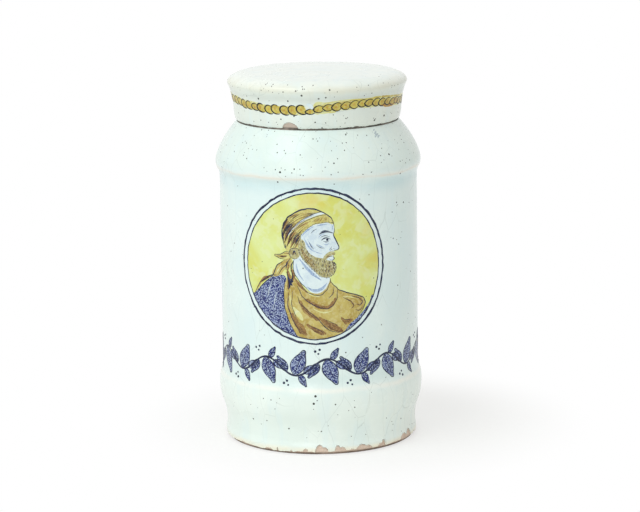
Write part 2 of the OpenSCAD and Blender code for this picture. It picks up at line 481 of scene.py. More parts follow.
def biscuit():
    """Bare fired earthenware, pinkish tan: stained brown and darkened with painted shade along the foot's
    bottom edge, darker on the lid with painted shade, and with a dark painted contact shadow along the lid's
    bottom edge.
    """
    material, tree, shader = new_material("bare_earthenware")
    place = add(tree, "TexCoord").outputs["Object"]
    grain = noise(tree, place, 900.0, 4.0, 0.7)
    stain = noise(tree, place, 120.0, 4.0)
    clay = blend_colours(tree, smooth_step(tree, grain, 0.35, 0.7), rgb(214, 190, 172), rgb(232, 213, 198))
    z = add(tree, "SeparateXYZ", {"Vector": place}).outputs["Z"]
    on_lid_clay = smooth_step(tree, z, 0.150, 0.160)
    # darker along the foot's bottom edge and along the lid's bare bottom edge
    low = math_node(tree, "MAXIMUM", smooth_step(tree, z, 0.0019, 0.0006),
                    math_node(tree, "MULTIPLY", smooth_step(tree, z, 0.1884, 0.1876), on_lid_clay))
    soiled_and_shaded = math_node(tree, "MULTIPLY", low, smooth_step(tree, stain, 0.25, 0.6, 0.55, 1.0))
    # the lid's clay is darker all over: painted shade
    lid_painted_shade = math_node(tree, "MULTIPLY", on_lid_clay, 0.7)
    clay = blend_colours(tree, lid_painted_shade, clay, rgb(188, 174, 163))
    # on the foot a brown stain with painted shade, on the lid a grey-black painted contact shadow
    dirt_and_contact_shadow = blend_colours(tree, on_lid_clay, rgb(112, 94, 80), rgb(78, 74, 67))
    colour = blend_colours(tree, soiled_and_shaded, clay, dirt_and_contact_shadow)
    tree.links.new(colour, shader.inputs["Base Color"])
    tree.links.new(smooth_step(tree, grain, 0.3, 0.7, 0.75, 0.95), shader.inputs["Roughness"])
    bump = add(tree, "Bump", {"Height": grain, "Strength": 0.35, "Distance": 0.0006})
    tree.links.new(bump.outputs[0], shader.inputs["Normal"])
    return material


def pigment(name, light, deep, fleck=None, patch=90.0, grain=900.0, fleck_share=0.5, bloom=None,
            kind="Flecks"):
    """A brushed ceramic colour: two tones in patches, flecks or dots of a third, a bloom where thick."""
    material, tree, shader = new_material(name)
    mottle = use_group(tree, BRUSH_MOTTLE, Patch=patch, Grain=grain)
    colour = blend_colours(tree, mottle["Patches"], light, deep)
    if fleck:
        colour = blend_colours(tree, math_node(tree, "MULTIPLY", mottle[kind], fleck_share), colour, fleck)
    if bloom:
        cloud = use_group(tree, GLAZE_LIFE)["Cloud"]
        colour = blend_colours(tree, smooth_step(tree, cloud, 0.50, 0.70, 0.0, 0.7), colour, bloom)
    fired(tree, shader, colour)
    return material


TIN_GLAZE = tin_glaze()
BISCUIT = biscuit()

# Pigments: light and deep tone, flecks, how fine the patches and the grain are, and the flecks' share
COBALT_LINE = pigment("cobalt_line", rgb(18, 31, 68), rgb(4, 13, 40), rgb(66, 82, 130), 260.0, 1200.0, 0.25)
COBALT_WASH = pigment("cobalt_wash", rgb(40, 55, 124), rgb(22, 33, 94), rgb(202, 219, 243), 240.0, 1400.0,
                      0.72, kind="Dots")
LEMON = pigment("lemon_ground", rgb(218, 229, 154), rgb(212, 214, 104), rgb(224, 233, 184), 48.0, 130.0,
                bloom=rgb(216, 192, 72))
PALE_LEMON = pigment("pale_lemon_wash", rgb(218, 220, 162), rgb(208, 200, 112), rgb(224, 230, 200), 120.0,
                     420.0)
OCHRE = pigment("ochre_cloth", rgb(198, 182, 104), rgb(172, 146, 68), rgb(212, 202, 146), 120.0, 620.0)
OCHRE_HAIR = pigment("ochre_hair", rgb(210, 206, 122), rgb(190, 176, 96), rgb(220, 214, 156), 150.0, 800.0,
                     0.4)
BEARD = pigment("ochre_beard", rgb(182, 177, 122), rgb(153, 140, 88), rgb(212, 214, 182), 170.0, 1000.0,
                0.55)
BROWN = pigment("brown_shade", rgb(152, 116, 64), rgb(112, 78, 44), rgb(182, 152, 94), 190.0, 1100.0, 0.6)
UMBER = pigment("umber_shade", rgb(74, 56, 40), rgb(38, 31, 30), rgb(118, 94, 62), 210.0, 1200.0, 0.4)
SKIN = pigment("pale_skin", rgb(220, 234, 236), rgb(202, 218, 229), rgb(227, 239, 241), 130.0, 600.0)
SKIN_SHADE = pigment("blue_skin_shade", rgb(162, 184, 210), rgb(128, 152, 190), rgb(194, 212, 229), 240.0,
                     1000.0, 0.6)
OLIVE = pigment("olive_scales", rgb(202, 187, 86), rgb(178, 152, 52), rgb(212, 204, 130), 170.0, 700.0)
WARM_OCHRE = pigment("warm_ochre", rgb(200, 160, 66), rgb(172, 124, 46), rgb(208, 184, 104), 170.0, 700.0,
                     0.4)
OLIVE_LINE = pigment("olive_line", rgb(32, 32, 32), rgb(10, 10, 14), rgb(82, 78, 60), 260.0, 1500.0, 0.25)
# a stain with painted shadow, for the lines over the chips
GRIME_AND_SHADOW = pigment("grime_and_shadow", rgb(124, 106, 92), rgb(92, 76, 64), rgb(168, 152, 138), 400.0, 1500.0)
SCUFF = pigment("grey_scuff", rgb(186, 200, 204), rgb(158, 174, 180), rgb(214, 227, 228), 500.0, 1500.0, 0.6)
IRON = pigment("iron_specks", rgb(58, 56, 50), rgb(32, 31, 30), patch=400.0)

# The clay bodies and their glaze coats, with steps across the front and round the back
COAT_STEPS = (320, 80)
CLAY_STEPS = (192, 100)
LONGEST_STEP = 0.0035

# Up to these heights chips may show what lies behind the glaze, so outlines stay fine there
JAR_CHIPS_TOP = 12.0
LID_CHIPS_TOP = 196.0

# How far behind its outer face a coat is hidden, above the chips and among them
BEHIND_COAT = 0.3
BEHIND_CHIPS = 3.0


def behind_coat(radii, chips_top):
    """A test for the points of a coat's outline that its clay hides, or that lie inside the jar or lid."""
    def is_hidden(co):
        z = co.z / MM
        return co.x / MM < look_up(radii, z) - (BEHIND_COAT if z > chips_top else BEHIND_CHIPS)
    return is_hidden


def above(height):
    """A test for the points of a clay outline that its coat hides."""
    return lambda co: co.z / MM > height


def turn_piece(name, node, body, material, slot, steps, is_hidden, **breaking):
    """A thrown piece in the place of a turned CAD node; a coat also says how its edge is broken."""
    bm = half_section(node)
    thin_out(bm, is_hidden)
    even_out(bm, LONGEST_STEP, is_hidden)
    spin_round(bm, *steps)
    hand_shape(bm, **breaking)
    piece = make_piece(name, bm, material, body)
    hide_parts(node)


turn_piece("jar_glaze_coat", "jar_glaze", "jar", TIN_GLAZE, "glaze", COAT_STEPS,
           behind_coat(jar_radii, JAR_CHIPS_TOP), radii=jar_radii, arc_r=WALL_R, chips=FOOT_CHIPS,
           edge=FOOT_HEM, ripple=FOOT_RIPPLE, zone_top=FOOT_ZONE_TOP)
turn_piece("jar_clay_body", "jar_clay", "jar", BISCUIT, "clay", CLAY_STEPS, above(JAR_CHIPS_TOP))
turn_piece("lid_glaze_coat", "lid_glaze", "lid", TIN_GLAZE, "glaze", COAT_STEPS,
           behind_coat(lid_radii, LID_CHIPS_TOP), radii=lid_radii, arc_r=LID_SIDE_R, chips=LID_CHIPS,
           edge=LID_HEM, ripple=LID_RIPPLE, zone_top=LID_ZONE_TOP)
turn_piece("lid_clay_body", "lid_clay", "lid", BISCUIT, "clay", CLAY_STEPS, above(LID_CHIPS_TOP))


# Brushwork: drawn flat in millimetres, along the front and up from the floor, then bent round the wall

# Marks a point of a loop where the outline turns sharply
CORNER = True

# Points of a drawing that lie as near as this are one, in millimetres
FLAT_WELD = 1e-3


def add_spline(curve, points, closed, widths=None):
    """Adds a smooth line through points, sharp at its corners, with a brush width at each point."""
    spline = curve.splines.new("BEZIER")
    spline.bezier_points.add(len(points) - 1)
    spline.use_cyclic_u = closed
    for i, (knot, point) in enumerate(zip(spline.bezier_points, points)):
        knot.co = (point[0], point[1], 0)
        knot.handle_left_type = knot.handle_right_type = "VECTOR" if len(point) > 2 else "AUTO"
        if widths:
            knot.radius = widths[i]


def curve_to_bmesh(curve):
    """The flat mesh of a drawn curve, which is used up."""
    thing = put_in_scene("drawing", curve)
    bpy.context.view_layer.update()
    mesh = bpy.data.meshes.new_from_object(thing.evaluated_get(bpy.context.evaluated_depsgraph_get()))
    bpy.data.curves.remove(curve)
    flat = bmesh.new()
    flat.from_mesh(mesh)
    bpy.data.meshes.remove(mesh)
    bmesh.ops.remove_doubles(flat, verts=flat.verts, dist=FLAT_WELD)
    return flat


def gather(bm, flat):
    """Adds a finished part of a drawing to the whole."""
    mesh = bpy.data.meshes.new("part")
    flat.to_mesh(mesh)
    flat.free()
    bm.from_mesh(mesh)
    bpy.data.meshes.remove(mesh)


def lay_fill(bm, loop, proud):
    """Adds an area of colour inside a smooth loop, cut into strips that can follow the wall."""
    curve = bpy.data.curves.new("loop", "CURVE")
    curve.dimensions = "2D"
    curve.fill_mode = "BOTH"
    curve.resolution_u = 6
    add_spline(curve, loop, True)
    flat = curve_to_bmesh(curve)
    for axis in (0, 1):
        places = [v.co[axis] for v in flat.verts]
        first = math.ceil(min(places) / STRIP)
        for i in range(first, int(max(places) // STRIP) + 1):
            across = Vector((0, 0, 0))
            across[axis] = 1
            bmesh.ops.bisect_plane(flat, geom=flat.verts[:] + flat.edges[:] + flat.faces[:], dist=1e-4,
                                   plane_co=across * (i * STRIP), plane_no=across)
    bmesh.ops.translate(flat, verts=flat.verts, vec=(0, 0, -PAINT_DEPTH))
    raised = bmesh.ops.extrude_face_region(flat, geom=flat.faces[:])["geom"]
    bmesh.ops.translate(flat, verts=[g for g in raised if isinstance(g, bmesh.types.BMVert)],
                        vec=(0, 0, PAINT_DEPTH + proud))
    bmesh.ops.recalc_face_normals(flat, faces=flat.faces)
    gather(bm, flat)


def lay_strokes(bm, strokes, proud):
    """Adds brush strokes, flattened into the glaze."""
    curve = bpy.data.curves.new("strokes", "CURVE")
    curve.dimensions = "3D"
    curve.bevel_depth = 0.5
    curve.bevel_resolution = 1
    curve.use_fill_caps = True
    curve.twist_mode = "Z_UP"
    curve.resolution_u = 4
    for points, widths, closed in strokes:
        add_spline(curve, points, closed, widths)
    flat = curve_to_bmesh(curve)
    for v in flat.verts:
        v.co.z = max(-PAINT_DEPTH, min(proud, v.co.z))
    bmesh.ops.recalc_face_normals(flat, faces=flat.faces)
    gather(bm, flat)


def lay_grains(bm, grains, proud):
    """Adds small round grains, each a flattened bead of few faces."""
    bead = bmesh.new()
    bmesh.ops.create_uvsphere(bead, u_segments=8, v_segments=5, radius=0.5)
    for x, y, size in grains:
        grain = bead.copy()
        grain.transform(Matrix.Translation((x, y, 0)) @ Matrix.Scale(size, 4))
        for v in grain.verts:
            v.co.z = max(-PAINT_DEPTH, min(proud, v.co.z))
        gather(bm, grain)
    bead.free()


def paint(name, body, material, proud, fills=(), strokes=(), grains=()):
    """A coat of one colour on the jar or the lid, some millimetres proud: areas, strokes and grains."""
    bm = bmesh.new()
    for loop in fills:
        lay_fill(bm, loop, proud)
    if strokes:
        lay_strokes(bm, strokes, proud)
    if grains:
        lay_grains(bm, grains, proud)
    surface = on_jar if body == "jar" else on_lid
    for v in bm.verts:
        v.co = surface(*v.co)
    make_piece(name, bm, material, body)


def brush(points, width, tip=0.35, closed=False, shake=0.0):
    """A brush stroke through points: thin at its ends, and never quite even."""
    widths = []
    for i in range(len(points)):
        press = 1.0 if closed else tip + (1 - tip) * math.sin(math.pi * i / (len(points) - 1)) ** 0.6
        widths.append(width * press * scatter.uniform(0.75, 1.25))
    shaken = [(p[0] + scatter.uniform(-shake, shake), p[1] + scatter.uniform(-shake, shake)) for p in points]
    return shaken, widths, closed


def finer(points):
    """The same line with a point halfway between each two."""
    halves = [((a[0] + b[0]) / 2, (a[1] + b[1]) / 2) for a, b in zip(points, points[1:])]
    return [p for pair in zip(points, halves) for p in pair] + [points[-1]]


def dot(x, y, size):
    """A round touch of the brush's tip."""
    reach = (-0.5, -0.4, -0.2, 0.2, 0.4, 0.5)
    press = (0.2, 0.62, 0.95, 0.95, 0.62, 0.2)
    return [(x + size * r, y) for r in reach], [size * p for p in press], False


def disc(x, y, radius):
    """A loop round a small round area."""
    turns = [i * math.pi / 4 for i in range(8)]
    return [(x + radius * math.cos(a), y + radius * math.sin(a)) for a in turns]


def between(first, last, share):
    """A line part of the way from one guide line to another with as many points."""
    return [(a[0] + (b[0] - a[0]) * share, a[1] + (b[1] - a[1]) * share) for a, b in zip(first, last)]


def along(line, share):
    """The point at a share of the way along a line."""
    place = share * (len(line) - 1)
    i = min(int(place), len(line) - 2)
    return between([line[i]], [line[i + 1]], place - i)[0]


def bowed(start, end, bow):
    """A short line that bows to one side."""
    run = max(math.hypot(end[0] - start[0], end[1] - start[1]), 0.1)
    middle = ((start[0] + end[0]) / 2 + (end[1] - start[1]) / run * bow,
              (start[1] + end[1]) / 2 - (end[0] - start[0]) / run * bow)
    return [start, middle, end]


def locks(first, last, tiers, count, width):
    """Short bowed locks in tiers from one edge of a beard to the other."""
    strokes = []
    for tier in range(tiers):
        for i in range(count):
            share = (i + scatter.uniform(0.2, 0.8)) / count
            roots = along(between(first, last, (tier + 0.1) / tiers), share)
            tips = along(between(first, last, (tier + scatter.uniform(0.9, 1.15)) / tiers), share)
            bow = scatter.uniform(0.25, 0.6) * (1 if i % 3 else -1)
            strokes.append(brush(bowed(roots, tips, bow), width * scatter.uniform(0.75, 1.25)))
    return strokes


def strands(first, last, count, width, stray=0.3, shorten=0.3):
    """Locks of hair between two guide lines."""
    lines = []
    for i in range(count):
        line = between(first, last, (i + scatter.uniform(0.2, 0.8)) / count)
        line = [(x + scatter.uniform(-stray, stray), y + scatter.uniform(-stray, stray)) for x, y in line]
        if scatter.random() < shorten and len(line) > 3:
            line = line[1:] if scatter.random() < 0.5 else line[:-1]
        lines.append(brush(line, width * scatter.uniform(0.75, 1.25)))
    return lines


# The medallion on the front: where its middle is, and the half axes of its rings and of the dress's hem
MEDALLION_X = 0.75
MEDALLION_Z = 110.45
OUTER_RING = (43.95, 44.65)
INNER_RING = (40.8, 42.15)
HEM_OVAL = (40.5, 41.8)


def oval(axes, start=0, end=360, step=6, shake=0.0):
    """Points along an upright oval about the medallion's middle, drawn by hand, so a little three-sided."""
    count = round(abs(end - start) / step)
    points = []
    for i in range(count if abs(end - start) == 360 else count + 1):
        turn = math.radians(start + (end - start) * i / count)
        off = scatter.uniform(-shake, shake) - 0.5 * math.cos(3 * turn)
        points.append((MEDALLION_X + (axes[0] + off) * math.cos(turn),
                       MEDALLION_Z + (axes[1] + off) * math.sin(turn)))
    return points


# The bust is drawn about a middle of its own, a little off the medallion's
BUST_X = 0.45
BUST_Z = 110.3


def on_bust(points):
    return [(p[0] + BUST_X, p[1] + BUST_Z) + tuple(p[2:]) for p in points]


# The head is drawn larger than it is painted: the back of its hair and its crown in the drawing,
# where they go on the bust, and its width and height there as shares of the drawing
DRAWN_BACK = -16.8
DRAWN_CROWN = 35
HEAD_BACK = -16.5
HEAD_CROWN = 33.4
HEAD_WIDTH = 0.9
HEAD_HEIGHT = 0.885


def on_head(points):
    return on_bust([(HEAD_BACK + (p[0] - DRAWN_BACK) * HEAD_WIDTH,
                     HEAD_CROWN + (p[1] - DRAWN_CROWN) * HEAD_HEIGHT) + tuple(p[2:]) for p in points])


def drawn(place, lines, tip=0.35, shake=0.0):
    """Brush strokes from a list of widths and points."""
    return [brush(finer(place(points)) if shake else place(points), width, tip, shake=shake)
            for width, points in lines]


def bolder(strokes, share):
    """The same strokes with the brush pressed harder."""
    return [(points, [w * share for w in widths], closed) for points, widths, closed in strokes]


def scallops(line, per_step, depth, width):
    """A row of short bowed strokes along a line, as for curls at the edge of hair."""
    strokes = []
    for a, b in zip(line, line[1:]):
        for i in range(per_step):
            start, end = (between([a], [b], (i + share) / per_step)[0] for share in (-0.1, 1.1))
            bow = depth * scatter.uniform(0.6, 1.3)
            strokes.append(brush(bowed(start, end, bow), width * scatter.uniform(0.8, 1.2)))
    return strokes


def head_locks(rows):
    """Locks of hair on the head, from rows of two guide lines, how many there are, and their width."""
    return [lock for first, last, count, width in rows
            for lock in strands(on_head(first), on_head(last), count, width)]


def hem(start, end):
    """Where the dress meets the medallion's inner ring."""
    return [(x - BUST_X, z - BUST_Z) for x, z in oval(HEM_OVAL, start, end, 7)]


# Areas of colour in the bust
CLOAK = [(-15, -6), (-20, -5.5), (-24.5, -7.2), (-30, -11.5), (-35, -16.5)] + hem(205, 259) + [
    (-11, -36), (-14.5, -28), (-16.2, -20), (-15.6, -12)]
TUNIC = [(-15, -9), (-15.9, -16), (-15.5, -24), (-13, -32), (-8.6, -40, CORNER)] + hem(261, 296) + [
    (21.5, -34), (26.8, -29.6), (30.2, -25), (31.4, -21.5), (30, -18.8), (26, -16.8), (20, -15),
    (15.5, -13.2), (12.5, -10.2), (10.5, -8, CORNER), (9, -11), (6.5, -14), (2, -15.2), (-2, -14),
    (-6, -10.5), (-9.5, -6.5), (-12, -5.5)]
TUNIC_EDGE = [(1.7, [(-35.5, -17), (-31, -10.5), (-27, -7.3), (-23, -6.2)])]
BLUE_EDGE = hem(292, 334) + [(34.2, -22), (30.6, -26.2), (26.4, -30.2), (21, -34), (14, -38)]
SCARF = [(-12, 5), (-15.5, 3.5), (-20, 0), (-23, -5.5), (-18, -5), (-15.5, -2), (-12, 0)]
KNOT_TAIL = [(-11.5, 8.8), (-15, 8.2), (-18, 6.6), (-21.5, 6.2), (-18.5, 4.6), (-15, 4.2), (-12, 5.6)]
NECK = [(-9.5, 8), (-10.3, 2), (-9.4, -3.6), (-5.5, -9.5), (-1, -14), (3, -15.3), (7, -13.6), (9.6, -10),
        (10.4, -6.4), (8, -3), (2, 0), (-4, 6)]
FACE = [
    (11.5, -3), (15.3, -2.2), (14.6, 1), (16.1, 2.6), (15.2, 3.9, CORNER), (16.5, 5.4), (15.7, 7.6, CORNER),
    (17.4, 8), (18.9, 8.7), (19.2, 9.9), (18.6, 11.6), (17.4, 14.2), (16.3, 16.6), (15.8, 18.2),
    (16.4, 20.4), (16.2, 24), (14.2, 27.6), (11.5, 29.5), (3, 28), (-4, 22), (-6, 14), (-7, 8), (-4, 4),
    (2, -2), (8, -5)]
KNOT = disc(-9.5, 7.7, 3.3)
HAIR = [
    (16.1, 25.2), (15.2, 28), (12, 30.8), (8, 33), (4, 34.6), (0, 35), (-5, 33.8), (-9, 31.8), (-13, 29),
    (-15.5, 25.5), (-16.7, 21), (-16.8, 17), (-16, 13), (-15, 10), (-13.5, 6), (-10, 4.5), (-7, 6), (-5, 10),
    (-4.5, 14), (-4.6, 17.5), (-2, 20.6), (1, 23.1), (4, 24.8), (8, 25.5), (12, 26)]
BEARD_AREA = [
    (-5, 15), (-2.8, 14), (-1.5, 9.5), (1.5, 5.5), (6, 3.4), (10, 2.6), (12.6, 1.4), (14.6, 1.2),
    (16.6, -0.6), (17.2, -3.6), (15.8, -7.2), (12, -9.6), (7.5, -8.8), (3, -4.6), (-1.5, 0), (-5, 4.5),
    (-6.5, 9)]
MOUSTACHE = [(15.9, 7), (16.9, 5.6), (14.5, 4.4), (11.5, 2.6), (9.2, 0.2), (9.4, 3.6), (11.8, 6.2),
             (14, 7.3)]
HEADBAND = [(10.4, 31.9), (8, 31.9), (3, 30.5), (-3, 27.5), (-9, 22.5), (-13, 17.5)]
FRINGE = [(15.8, 25.3), (12, 26), (8, 25.4), (4, 24.7), (1, 23), (-2, 20.5), (-4.6, 17.3), (-4.9, 14)]
CLOTH_LIGHT = [(-11, -23.5), (-8.1, -25), (-5.6, -28), (-5.2, -31.2), (-6.3, -30.8), (-8.7, -28.3),
               (-10.2, -26.2)]
FOLD_SHADES = [
    [(-7, -19.5), (-4, -23.3), (-1, -26), (2, -28.5), (4.6, -31), (3, -30.8), (-0.5, -28.8), (-3.6, -26.2),
     (-6, -23)],
    [(4, -29), (7, -30.6), (10, -32.2), (13.7, -33.4), (16.2, -36), (17.8, -37.6), (14.6, -37.8),
     (11, -36.3), (8, -34), (5.5, -31.5)],
    [(-11.3, -26.8), (-9.5, -29.8), (-7.2, -32.3), (-5.2, -34.3), (-3.7, -37.4), (-2.8, -39.4),
     (-4.2, -39.5), (-6.8, -38), (-9.3, -34.6), (-11.1, -30.5)],
    [(-3, -33), (0, -34.5), (3.5, -36), (6.5, -37.4), (7.5, -38.6), (6, -39.2), (3, -38), (0, -36.3),
     (-2.4, -34.6)],
    [(16.8, -29.5), (19, -30.9), (23, -31.2), (21.5, -32.8), (19.4, -33.4), (17.8, -32.2)],
    [(-3, -18.4), (1, -20.8), (5, -22.4), (9, -22.6), (11.6, -21), (13.8, -18), (13, -21.6), (9.4, -24.3),
     (5, -23.9), (1, -22.1), (-3, -19.4)]]
BEARD_INNER = [(-2.8, 13), (-1.5, 9.5), (1.5, 5.5), (6, 3.4), (10, 2.6), (12.6, 1.4), (14.6, 1.2),
               (15.6, 0.6), (16.4, -0.4)]
JAW = [(-6.3, 8.6), (-5, 4.6), (-1.5, 0), (3, -4.6), (7.5, -8.8), (12, -9.6), (15.8, -7.2), (17.2, -3.6),
       (16.6, -0.6)]

# Soft blue modelling of the face and neck, and pale lights on cloak and cloth: widths and points
FACE_SHADES = [
    (1.5, [(-4, 17.4), (-2.2, 19.6), (0.4, 21.8), (3.4, 23.6)]), (1.2, [(5, 23.8), (8, 24.6), (12, 24.9)]),
    (1.3, [(-2.6, 16), (-1, 12.5), (1, 9.5), (4, 7)]), (1.0, [(-0.6, 15.6), (1, 12.4), (3.4, 9.8)]),
    (1.2, [(5, 12.4), (7.5, 10.8), (10, 10)]), (0.9, [(6.2, 16.4), (8, 18), (11, 19)]),
    (0.8, [(9, 12.4), (11.2, 11.7), (13.2, 12.6)]), (0.8, [(13.6, 9.6), (13.4, 8.2), (14.4, 7.4)]),
    (0.9, [(14.9, 20.6), (15.3, 22.8), (14.8, 24.6)]), (0.8, [(3, 8.4), (5.6, 6.6), (8.6, 6.2)]),
    (0.7, [(12.8, 2.6), (14.2, 1.8), (15.4, 1.9)])]
NECK_SHADES = [
    (2.6, [(-6.6, 4.6), (-3.4, 0.4), (0.4, -3.6), (5.6, -7.6)]), (1.5, [(-8.6, 2), (-7.6, -3), (-4.4, -8)]),
    (2.2, [(-2.6, -11.4), (1.4, -13.6), (5.4, -12.8), (8.8, -9.4)])]
CLOAK_LIGHTS = [
    (0.6, [(-23.5, -9), (-25, -13), (-26.5, -18)]), (0.45, [(-21, -15), (-22, -21), (-23, -25)])]
CLOTH_LIGHTS = [
    (0.8, [(-12.2, -13), (-12.4, -19), (-11.6, -24)]), (0.6, [(15.4, -28), (16.6, -28.4)]),
    (1.3, [(-3.6, -12.8), (0, -16.2), (4.6, -17.2)]), (1.2, [(1, -24.2), (6.4, -26.4), (11.6, -25.6)]),
    (0.9, [(-17.4, 0.4), (-19.6, -2.6), (-20.6, -4.8)]), (1.0, [(18, -17.6), (22, -18), (26.4, -19.4)])]

# Brown and umber shading of hair, scarf and folds
HAIR_BROWNS = [
    (2.2, [(-15.6, 19), (-15, 23.6), (-12.4, 27)]), (2.0, [(-15.2, 14.6), (-13.8, 19), (-10.8, 23)]),
    (1.7, [(-13.4, 11.6), (-11.8, 15.8), (-8.3, 19.8)]), (1.5, [(-11.6, 9.6), (-9.4, 13.4), (-6.2, 16.8)]),
    (1.6, [(-14.4, 17), (-12.6, 21.4), (-9.6, 25)]), (1.5, [(-12.2, 12.6), (-10.2, 16.8), (-7.4, 20)]),
    (1.2, [(-9, 8.8), (-7, 12), (-5.6, 15)]), (1.2, [(-12.5, 28.3), (-9, 30.6), (-6, 31.8)]),
    (1.0, [(-7, 21.6), (-3, 24.8), (1.6, 27)])]
CLOTH_BROWNS = [
    (1.6, [(-10, 7), (-9.4, 8.3)]), (1.5, [(-20, 5.7), (-17, 5.8), (-14, 6.2)]),
    (1.2, [(-16, 7.4), (-13.4, 7.6), (-11.8, 7)]), (2.1, [(-31.9, -10.8), (-28, -7.6), (-24.6, -6.6)]),
    (3.0, [(-14, -1.5), (-12.8, -6), (-13.8, -13)]), (2.6, [(-11.6, -1), (-10.2, -5), (-11.6, -10)]),
    (1.6, [(-14.4, 2.6), (-13.2, 0.4), (-13.6, -2.4)]), (2.0, [(-10, -6), (-6.5, -10.7), (-2.5, -14.8)]),
    (1.4, [(11.2, -16.4), (12.8, -13.4)]), (1.0, [(-13, -14), (-13.8, -22), (-11.2, -29)]),
    (0.9, [(20, -18.8), (22.6, -20.6), (24.2, -23.2), (22.8, -24.8)]),
    (0.9, [(23.8, -17.8), (27.5, -19), (29.6, -21.4), (28, -23.2), (26, -22.6)]),
    (0.9, [(25.3, -25.6), (27.5, -26.2), (30, -24.2)])]
BROWN_LOCKS = [
    ([(-15.5, 14), (-14, 20), (-9, 25.5), (-3, 29)], [(-8, 9), (-6.4, 14), (-4, 19.5), (2, 24.5)], 8, 0.45),
    ([(-14, 26), (-9, 30), (-3, 32), (4, 32.6)], [(-11, 23), (-6, 27), (0, 30), (6, 32)], 4, 0.4),
    ([(2, 26.4), (4, 27.8), (6, 29.6)], [(13, 26.8), (13.4, 28.2), (13, 29.8)], 9, 0.45),
    ([(-4, 13.5), (-3, 8.5), (0.5, 3.5), (6.5, 0.4)], [(-5.6, 9), (-3.4, 4.4), (1, -1.6), (6, -5.6)],
     5, 0.4),
    ([(7, 2.4), (8.6, -1), (9.4, -4.4), (9, -7.6)], [(15.6, 0.4), (15.9, -2), (15.6, -4.6), (13.6, -7.6)],
     5, 0.4),
    ([(9.8, 1.4), (11.6, 4), (14.2, 6.2)], [(10.6, 2.4), (13, 4.6), (16.2, 6)], 3, 0.35)]
HAIR_UMBERS = [
    (2.6, [(-16.2, 21.6), (-15.2, 25), (-13, 28)]), (2.4, [(-16.4, 16.6), (-15, 21), (-12, 25)]),
    (2.0, [(-15.4, 12.6), (-13.8, 17), (-11, 21)]), (1.7, [(-13.8, 10.4), (-11.8, 14.4), (-8.8, 18)]),
    (1.5, [(-12.8, 13.6), (-11.2, 17.6), (-8.6, 21)]), (1.2, [(-10.4, 12.2), (-8.6, 15.6), (-6.4, 18.4)]),
    (1.1, [(-11.4, 9.4), (-9.4, 12.6), (-7, 15.6)]), (0.8, [(-11.4, 26.8), (-8.4, 29.6), (-5.4, 31.2)]),
    (0.7, [(-8.8, 23.2), (-5, 26.2), (-1.4, 28)]), (0.8, [(-6.4, 17), (-5.6, 19.4), (-3.4, 21.8)])]
CLOTH_UMBERS = [
    (2.0, [(-14.2, -3), (-13.2, -7.4), (-13.8, -12)]), (1.5, [(-11.4, -2), (-10.6, -6), (-11.6, -9.6)]),
    (0.9, [(-18.6, 5.6), (-16.4, 5.4), (-14, 5.8)]), (4.2, [(-30.6, -9.9), (-25.6, -6.9)]),
    (0.6, [(-5.6, -22.4), (-2, -26.6), (2.6, -30.2)]), (0.6, [(8, -33.6), (11.4, -36), (15.4, -37.4)]),
    (0.7, [(-10.6, -30.6), (-8.4, -34.8), (-5.2, -38.4)]), (0.5, [(-1.4, -35.2), (2.4, -37.4), (6, -38.6)]),
    (0.5, [(18.2, -31.6), (20.2, -32.4), (22.2, -31.8)]), (0.5, [(1.4, -21.8), (5.4, -23.3), (9.4, -23.4)])]

# Fine dark drawing: head cloth and band, locks, the profile and the eye, then scarf, cloak and tunic
HEAD_LINES = [
    (0.7, [(16.2, 23.5), (15.9, 26), (14.6, 28.9), (11.8, 31.2), (8, 33.3), (4, 34.9), (0, 35.2), (-5, 34),
           (-9, 32), (-13, 29.2), (-15.7, 25.5), (-16.9, 21), (-17, 17), (-16.2, 13), (-15.2, 9.5)]),
    (0.35, [(12.6, 30.5), (8.6, 33), (3, 31.6), (-3, 28.6), (-9.2, 23.7), (-13.8, 18)]),
    (0.35, [(11.4, 31), (8, 30.8), (3.2, 29.3), (-2.6, 26.4), (-8.4, 21.5), (-12.2, 16.7)]),
    (1.0, [(-16.8, 20), (-16.8, 17.2), (-16, 14)]), (0.8, [(-14.8, 11.6), (-14.6, 8.8)]),
    (0.7, [(-16, 25), (-16.6, 22.4)]), (0.4, [(-13, 26.4), (-10.4, 24), (-12.4, 20.6)])]
DARK_LOCKS = [
    ([(-2, 31), (2, 33), (6, 33.2)], [(-6, 25.6), (-1, 28.4), (5, 30.6)], 4, 0.28),
    ([(-12, 12), (-9, 17), (-4, 22)], [(-8, 9), (-6.4, 13), (-4.6, 17)], 8, 0.36),
    ([(-15.6, 21), (-13, 25), (-9, 28)], [(-14.4, 14), (-12, 19), (-8, 22.4)], 9, 0.4)]
FACE_LINES = [
    (0.55, [(16.2, 24), (16.4, 20.4), (15.8, 18.2), (16.3, 16.6), (17.4, 14.2), (18.6, 11.6), (19.2, 9.9),
            (18.9, 8.7), (17.4, 8), (15.7, 7.6)]),
    (0.45, [(16.4, 5.6), (15.4, 4.0)]), (0.45, [(15.4, 3.8), (16.1, 2.7), (14.8, 1.2)]),
    (0.45, [(15.3, 3.9), (13.4, 4.1), (11.4, 3.6)]),
    (0.75, [(8.2, 14.6), (9.9, 15.8), (11.7, 16.1), (13.9, 15.2)]),
    (0.42, [(9.2, 14), (11.2, 13.5), (13.2, 14.2)]), (0.42, [(7.6, 16.4), (10.2, 17.5), (13.6, 16.8)]),
    (0.95, [(6.8, 18.5), (9.5, 19.8), (12.6, 20), (15.4, 19.1)]),
    (0.45, [(7.6, 19.7), (10, 20.8), (13, 20.8)]), (0.4, [(4.8, 11.8), (7.2, 10), (10, 9.4)]),
    (0.4, [(1.6, 19), (3.2, 20.8), (5.4, 22)]), (0.38, [(0.6, 13.6), (1.6, 11), (3.4, 8.8)]),
    (0.5, [(15.3, 9.1), (16.8, 8.6)]), (0.45, [(14.6, 10.4), (14.1, 8.8), (15.2, 8)])]
PUPIL = (11.9, 14.9)
PUPIL_SIZE = 1.4
